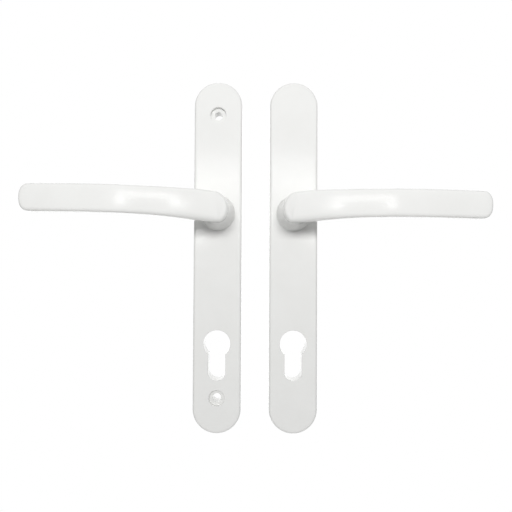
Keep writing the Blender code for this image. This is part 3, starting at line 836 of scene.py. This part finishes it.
def spread(material, value, low, high, target):
    """Drives the target socket from low to high as the noise goes through its middle range."""
    ranged = material.node_tree.nodes.new("ShaderNodeMapRange")
    ranged.inputs["From Min"].default_value = 0.5 - NOISE_CONTRAST / 2
    ranged.inputs["From Max"].default_value = 0.5 + NOISE_CONTRAST / 2
    ranged.inputs["To Min"].default_value = low
    ranged.inputs["To Max"].default_value = high
    material.node_tree.links.new(value, ranged.inputs["Value"])
    material.node_tree.links.new(ranged.outputs["Result"], target)


def tint(material, value, dark, light, target):
    """Drives the target colour from dark to light as the noise goes through its middle range."""
    ramp = material.node_tree.nodes.new("ShaderNodeValToRGB")
    ramp.color_ramp.elements[0].position = 0.5 - NOISE_CONTRAST / 2
    ramp.color_ramp.elements[1].position = 0.5 + NOISE_CONTRAST / 2
    ramp.color_ramp.elements[0].color = (*dark, 1)
    ramp.color_ramp.elements[1].color = (*light, 1)
    material.node_tree.links.new(value, ramp.inputs["Fac"])
    material.node_tree.links.new(ramp.outputs["Color"], target)


def relief(material, shader, heights):
    """Bumps from (noise, height in metres) pairs, one on top of another."""
    normal = None
    for value, height in heights:
        bump = material.node_tree.nodes.new("ShaderNodeBump")
        bump.inputs["Distance"].default_value = height
        bump.inputs["Strength"].default_value = 1.0
        material.node_tree.links.new(value, bump.inputs["Height"])
        if normal:
            material.node_tree.links.new(normal, bump.inputs["Normal"])
        normal = bump.outputs["Normal"]
    material.node_tree.links.new(normal, shader.inputs["Normal"])


def powder_coat():
    """White gloss powder coat: an orange-peel skin with faint clouds in its colour and its gloss."""
    material, shader = new_material("white_powder_coat", IOR=1.5)
    clouds = noise(material, 45, 3)
    peel = noise(material, 420, 1)
    grain = noise(material, 2600, 2)
    tint(material, clouds, (0.828, 0.829, 0.813), (0.858, 0.860, 0.846), shader.inputs["Base Color"])
    spread(material, grain, 0.09, 0.14, shader.inputs["Roughness"])
    relief(material, shader, [(peel, 0.000006), (grain, 0.0000015)])
    return material


def zinc_plate():
    """Bright zinc: bluish and yellowish patches under fine rolling marks."""
    material, shader = new_material("zinc_plated_steel", Metallic=1.0)
    patches = noise(material, 160, 3)
    marks = noise(material, 900, 3, (1, 1, 6))
    tint(material, patches, (0.56, 0.58, 0.61), (0.68, 0.67, 0.63), shader.inputs["Base Color"])
    spread(material, marks, 0.22, 0.42, shader.inputs["Roughness"])
    relief(material, shader, [(marks, 0.000004)])
    return material


def spring_steel():
    """Dark oiled spring steel, with drawing marks and dull patches where the oil is thin."""
    material, shader = new_material("spring_steel", Metallic=1.0)
    patches = noise(material, 220, 3)
    marks = noise(material, 2200, 2)
    tint(material, patches, (0.13, 0.13, 0.14), (0.27, 0.265, 0.26), shader.inputs["Base Color"])
    spread(material, patches, 0.26, 0.46, shader.inputs["Roughness"])
    relief(material, shader, [(marks, 0.000003)])
    return material


def nylon():
    """Natural moulded nylon: slightly translucent, with a fine spark-eroded grain."""
    material, shader = new_material("nylon", Subsurface_Weight=0.15, Subsurface_Scale=0.001, IOR=1.53)
    clouds = noise(material, 120, 2)
    grain = noise(material, 3000, 2)
    tint(material, clouds, (0.77, 0.755, 0.70), (0.83, 0.82, 0.77), shader.inputs["Base Color"])
    spread(material, grain, 0.40, 0.55, shader.inputs["Roughness"])
    relief(material, shader, [(grain, 0.000005)])
    return material


MATERIALS = {
    "white_powder_coat": powder_coat(),
    "zinc_plated_steel": zinc_plate(),
    "spring_steel": spring_steel(),
    "nylon": nylon(),
}


# ---- Assembly


def place(obj, node, slot, tilted=False):
    """Gives a finished shape its hand, place and material, as the piece that stands for a CAD node."""
    label = node.split("_")[0]
    if label == "inner":
        obj.data.transform(Matrix.Diagonal((-1, 1, 1, 1)))
        obj.data.flip_normals()
    obj.name = node + "_surface"
    obj.data.name = obj.name
    obj.location.x = SPINDLES[label]
    obj.rotation_euler.y = math.radians(REST_TILT) if tilted else 0
    obj.data.shade_smooth()
    obj.data.set_sharp_from_angle(angle=math.radians(SHARP_ANGLE))
    even = obj.modifiers.new("even normals", "WEIGHTED_NORMAL")
    even.keep_sharp = True
    even.weight = NORMAL_WEIGHT
    bake(obj)
    obj.data.materials.clear()
    obj.data.materials.append(MATERIALS[slot])
    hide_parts(node)
    return obj


def twin(obj):
    """A copy with its own mesh, for the other handle."""
    copy = obj.copy()
    copy.data = obj.data.copy()
    bpy.context.scene.collection.objects.link(copy)
    return copy


def both(shape, name, slot, rides_lever=False):
    """The same shape on both handles, riding on the plates or on each lever."""
    for label, obj in (("inner", twin(shape)), ("outer", shape)):
        piece = place(obj, f"{label}_{name}", slot, rides_lever)
        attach(piece, f"{label}_lever" if rides_lever else BODY)


def add_springs():
    """Each spring winds up between its fixed leg in the plate and its moving leg in the driver."""
    for label, side in (("inner", -1), ("outer", 1)):
        node = f"{label}_return_spring"
        spring = place(return_spring(-side * REST_TILT), node, "spring_steel")
        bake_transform(spring)


def add_pieces():
    for label, cuts in (("inner", screw_holes()), ("outer", sleeve_holes())):
        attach(place(backplate(cuts), f"{label}_backplate", "white_powder_coat"), BODY)
    both(lever(), "lever", "white_powder_coat", rides_lever=True)
    both(neck_bush(), "neck_bush", "nylon")
    both(driver_plate(), "driver_plate", "zinc_plated_steel", rides_lever=True)
    both(cassette_cover(), "cassette_cover", "zinc_plated_steel")
    both(thrust_washer(), "thrust_washer", "zinc_plated_steel", rides_lever=True)
    both(circlip(), "circlip", "spring_steel", rides_lever=True)
    for where in ("upper", "lower"):
        both(cover_screw(where), f"cover_screw_{where}", "zinc_plated_steel")
        sleeve = place(threaded_sleeve(where), f"outer_{where}_threaded_sleeve", "zinc_plated_steel")
        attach(sleeve, BODY)
    add_springs()


# ---- Studio

CAMERA_PLACE = (0.0004, -0.373, -0.0415)
CAMERA_RISE = 1.2  # degrees that the camera looks up by
CAMERA_ROLL = 0.29
CAMERA_LENS = 35.93
CAMERA_SHIFT_Y = 0.0104
CAMERA_SENSOR_WIDTH = 36.0
CAMERA_NEAREST = 0.01
FLOOR_DROP = 0.6  # from the lowest point of the plates to the floor
FLOOR_SIZE = (3.0, 2.2)
FLOOR_GREY = 0.85
FLOOR_ROUGHNESS = 0.9
ROOM_LIGHT = ((-1.0, 0.12), (0.0, 0.19), (1.0, 0.65))  # by the height of the direction: brightness
KEY_PLACE = (0.0, -1.0, 0.18)
KEY_TARGET = (0.0, 0.0, 0.85)  # above the handles, so that the light fades down the plates
KEY_SIZE = (0.36, 0.24)
KEY_POWER = 8.9
BACK_FILL_PLACE = (0.0, 1.2, 0.1)
BACK_FILL_SIZE = (2.0, 1.6)
BACK_FILL_POWER = 12.0
WINDOW_DISTANCE = 2.5
WINDOW_TOP = 0.49
WINDOW_HALF_WIDTH = 0.37
WINDOW_FOOT = 0.03
WINDOW_LINTEL = 0.2
WINDOW_POST = 0.16
LINTEL_BRIGHTNESS = 2.8
POST_BRIGHTNESS = 5.0


def add_camera():
    camera = bpy.data.objects.new("camera", bpy.data.cameras.new("camera"))
    camera.data.lens = CAMERA_LENS
    camera.data.sensor_width = CAMERA_SENSOR_WIDTH
    camera.data.shift_y = CAMERA_SHIFT_Y
    camera.data.clip_start = CAMERA_NEAREST
    rise = Matrix.Rotation(math.radians(90 + CAMERA_RISE), 4, "X")
    roll = Matrix.Rotation(math.radians(CAMERA_ROLL), 4, "Z")
    camera.matrix_world = Matrix.Translation(CAMERA_PLACE) @ rise @ roll
    bpy.context.scene.collection.objects.link(camera)
    bpy.context.scene.camera = camera


def add_light(name, place, size, power, target=(0, 0, 0)):
    """A rectangular soft box aimed at the target."""
    light = bpy.data.lights.new(name, "AREA")
    light.shape = "RECTANGLE"
    light.size, light.size_y = size
    light.energy = power
    obj = bpy.data.objects.new(name, light)
    obj.location = place
    obj.rotation_euler = (Vector(target) - Vector(place)).to_track_quat("-Z", "Y").to_euler()
    bpy.context.scene.collection.objects.link(obj)
    return obj


def add_window():
    """A window-shaped frame of light behind the camera, open below, that shows in the levers' gloss."""
    height = WINDOW_TOP - WINDOW_FOOT
    middle = WINDOW_FOOT + height / 2
    lintel = (2 * WINDOW_HALF_WIDTH + WINDOW_POST, WINDOW_LINTEL)
    post = (WINDOW_POST, height - WINDOW_LINTEL)
    bars = [
        ("window_top", 0, WINDOW_TOP, lintel, LINTEL_BRIGHTNESS),
        ("window_left", -WINDOW_HALF_WIDTH, middle, post, POST_BRIGHTNESS),
        ("window_right", WINDOW_HALF_WIDTH, middle, post, POST_BRIGHTNESS),
    ]
    for name, x, z, size, brightness in bars:
        power = brightness * math.pi * size[0] * size[1]
        add_light(name, (x, -WINDOW_DISTANCE, z), size, power, target=(x, 0, z))


def add_floor():
    width, depth = FLOOR_SIZE
    drop = PLATE_LOW.z * MM - FLOOR_DROP
    corners = [(i * width / 2, j * depth / 2, drop) for i, j in ((-1, -1), (1, -1), (1, 1), (-1, 1))]
    mesh = bpy.data.meshes.new("floor")
    mesh.from_pydata(corners, [], [(0, 1, 2, 3)])
    floor = bpy.data.objects.new("floor", mesh)
    material, shader = new_material("pale_floor", Roughness=FLOOR_ROUGHNESS)
    shader.inputs["Base Color"].default_value = (FLOOR_GREY, FLOOR_GREY, FLOOR_GREY, 1)
    mesh.materials.append(material)
    bpy.context.scene.collection.objects.link(floor)


def add_world():
    """A plain white room: full white where it is seen, and dimmer as a light, least of all from below."""
    world = bpy.data.worlds.new("room")
    world.use_nodes = True
    nodes, links = world.node_tree.nodes, world.node_tree.links
    seen = nodes["Background"]
    seen.inputs["Color"].default_value = (1, 1, 1, 1)
    lit = nodes.new("ShaderNodeBackground")
    direction = nodes.new("ShaderNodeTexCoord")
    parts = nodes.new("ShaderNodeSeparateXYZ")
    height = nodes.new("ShaderNodeMapRange")
    height.inputs["From Min"].default_value = -1.0
    ramp = nodes.new("ShaderNodeValToRGB").color_ramp
    ramp.elements.new(0.5)
    for element, (z, brightness) in zip(ramp.elements, ROOM_LIGHT):
        element.position = (z + 1) / 2
        element.color = (brightness, brightness, brightness, 1)
    links.new(direction.outputs["Generated"], parts.inputs["Vector"])
    links.new(parts.outputs["Z"], height.inputs["Value"])
    links.new(height.outputs["Result"], nodes["Color Ramp"].inputs["Fac"])
    links.new(nodes["Color Ramp"].outputs["Color"], lit.inputs["Color"])
    path = nodes.new("ShaderNodeLightPath")
    mix = nodes.new("ShaderNodeMixShader")
    links.new(path.outputs["Is Camera Ray"], mix.inputs["Fac"])
    links.new(lit.outputs["Background"], mix.inputs[1])
    links.new(seen.outputs["Background"], mix.inputs[2])
    links.new(mix.outputs["Shader"], nodes["World Output"].inputs["Surface"])
    bpy.context.scene.world = world


def add_studio():
    add_camera()
    add_floor()
    add_world()
    add_light("key", KEY_PLACE, KEY_SIZE, KEY_POWER, KEY_TARGET).visible_glossy = False
    add_light("back_fill", BACK_FILL_PLACE, BACK_FILL_SIZE, BACK_FILL_POWER).visible_camera = False
    add_window()
    bpy.context.scene.view_settings.view_transform = "Standard"


add_pieces()
add_studio()
